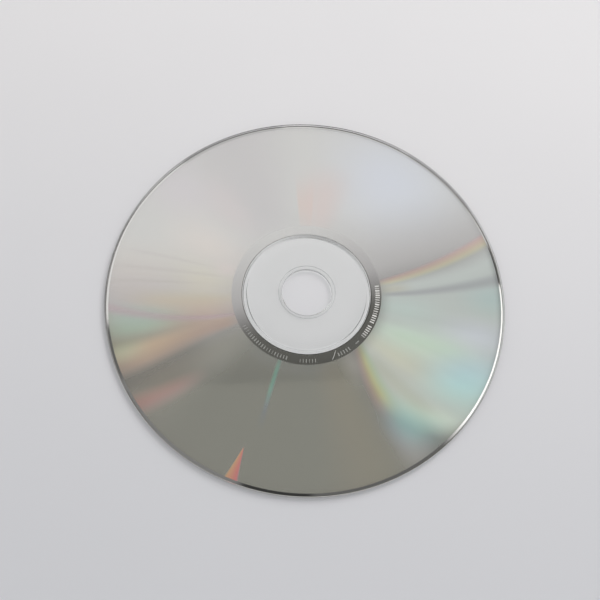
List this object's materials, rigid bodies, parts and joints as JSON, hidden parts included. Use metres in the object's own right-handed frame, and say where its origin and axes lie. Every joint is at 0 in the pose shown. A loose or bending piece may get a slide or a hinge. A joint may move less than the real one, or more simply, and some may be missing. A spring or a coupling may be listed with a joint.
{
  "type": "compact disc",
  "caption": "Flat round optical disc of clear plastic with a mirror-bright metal film, a centre hole and a clear hub.",
  "frame": {"origin": "on the disc's axis, in the plane of the label side that it lies on", "axes": "+Z along the disc's axis, out of the read side; -Y is the side nearest the picture's camera"},
  "size_m": [0.12, 0.12, 0.0014],
  "materials": {
    "clear_plastic": "clear, polished, as moulded",
    "metal_film": "mirror bright, with faint rainbow bands from the data track"
  },
  "bodies": {
    "root": {"clear_disc": "clear_plastic", "metal_layer": "metal_film"}
  },
  "joints": []
}
